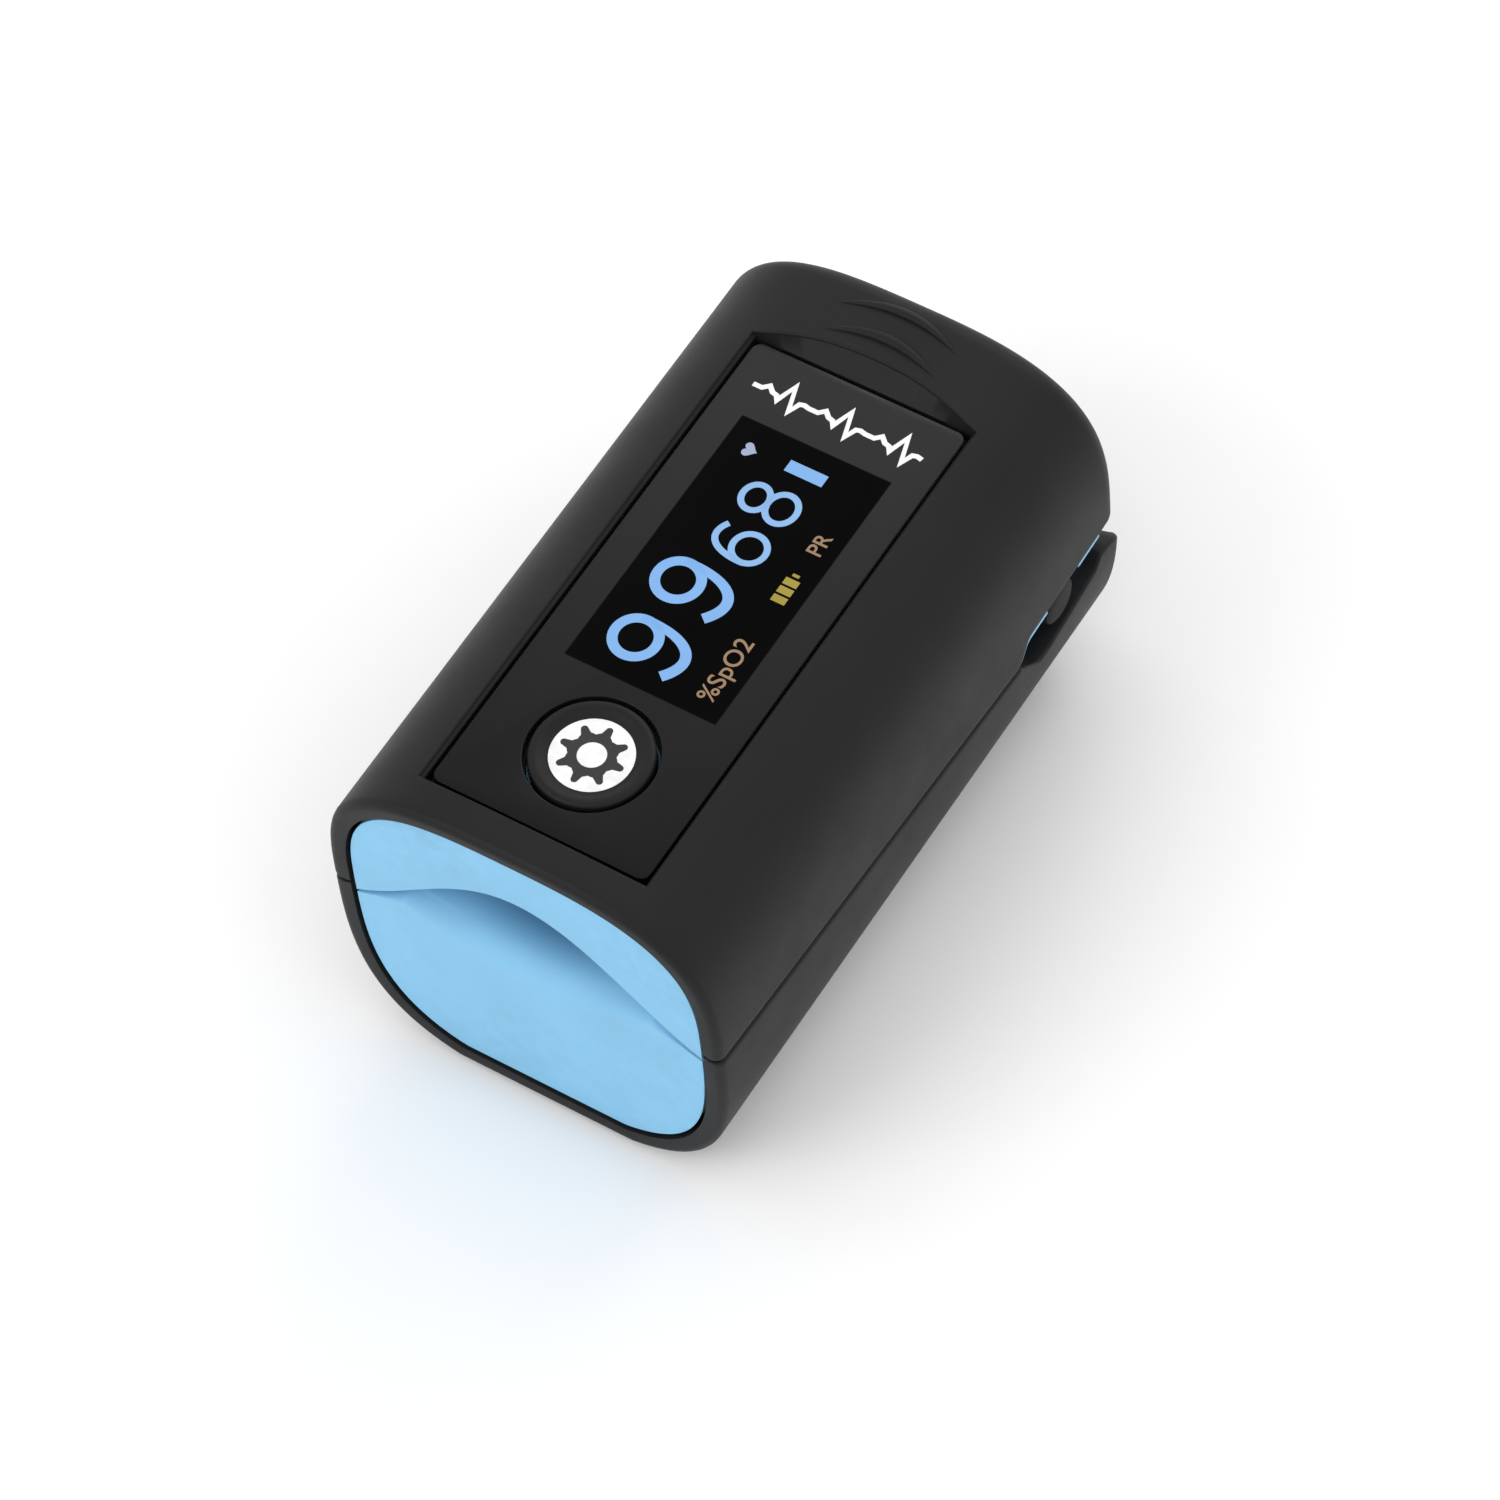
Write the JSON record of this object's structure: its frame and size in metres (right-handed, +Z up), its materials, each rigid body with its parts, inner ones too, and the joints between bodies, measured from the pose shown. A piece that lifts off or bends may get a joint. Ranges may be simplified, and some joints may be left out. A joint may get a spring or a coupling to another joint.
{
  "type": "fingertip pulse oximeter",
  "caption": "Spring-hinged fingertip clip that reads blood oxygen and pulse through the finger and shows them on its top display.",
  "frame": {"origin": "centre of the housing's bounding box, on the face that it rests on", "axes": "+Z up through the display, -Y out of the finger opening, +X to the right seen from the finger opening"},
  "size_m": [0.0328, 0.057, 0.0329],
  "materials": {
    "charcoal_plastic": "fine matte texture",
    "sky_plastic": "satin",
    "sky_silicone": "soft satin silicone",
    "panel_lens": "polished",
    "display_glass": "polished",
    "button_plastic": "satin",
    "spring_steel": "drawn wire",
    "nickel_contact": "bright nickel plate",
    "cell_sleeve": "printed sleeve",
    "circuit_board": "solder mask",
    "chip_black": "moulded epoxy",
    "ribbon_film": "polyimide film",
    "clear_window": "clear",
    "white_plastic": "satin"
  },
  "bodies": {
    "lower_half": {"lower_shell": "charcoal_plastic", "lower_frame": "sky_plastic", "lower_finger_pad": "sky_silicone", "detector_window": "clear_window", "detector_board": "circuit_board", "photodiode": "chip_black", "battery_left": "cell_sleeve", "battery_right": "cell_sleeve", "contact_bridge": "nickel_contact", "contact_plate_negative": "nickel_contact", "contact_plate_positive": "nickel_contact", "contact_spring_front": "nickel_contact", "contact_spring_rear": "nickel_contact", "hinge_pin": "spring_steel", "hinge_cap_left": "charcoal_plastic", "hinge_cap_right": "charcoal_plastic", "torsion_spring_left": "spring_steel", "torsion_spring_right": "spring_steel", "hinge_flex": "ribbon_film", "screw_lower_left": "spring_steel", "screw_lower_right": "spring_steel"},
    "upper_half": {"upper_shell": "charcoal_plastic", "upper_frame": "sky_plastic", "upper_finger_pad": "sky_silicone", "display_lens": "panel_lens", "oled_display": "display_glass", "display_flex": "ribbon_film", "main_board": "circuit_board", "microcontroller": "chip_black", "boost_inductor": "chip_black", "crystal": "nickel_contact", "led_emitter": "white_plastic", "emitter_window": "clear_window", "tactile_switch": "nickel_contact", "screw_upper_left": "spring_steel", "screw_upper_right": "spring_steel"},
    "power_button": {"power_button": "button_plastic", "switch_plunger": "white_plastic"},
    "battery_door": {"battery_door": "charcoal_plastic"}
  },
  "joints": [
    {"name": "clamp_hinge", "type": "hinge", "parent": "lower_half", "child": "upper_half", "pos_m": [0, 0.0195, 0.0148], "axis": [-1, 0, 0], "range_deg": [0, 18], "stiffness_Nm_per_rad": 0.25, "springref_deg": -20.05, "deforming": ["torsion_spring_left", "torsion_spring_right", "hinge_flex"]},
    {"name": "button_press", "type": "slide", "parent": "upper_half", "child": "power_button", "axis": [0, 0, -1], "range_m": [0, 0.0003], "stiffness_N_per_m": 3000, "springref_m": -0.0002},
    {"name": "battery_door_slide", "type": "slide", "parent": "lower_half", "child": "battery_door", "axis": [0, 1, 0], "range_m": [0, 0.05]}
  ]
}
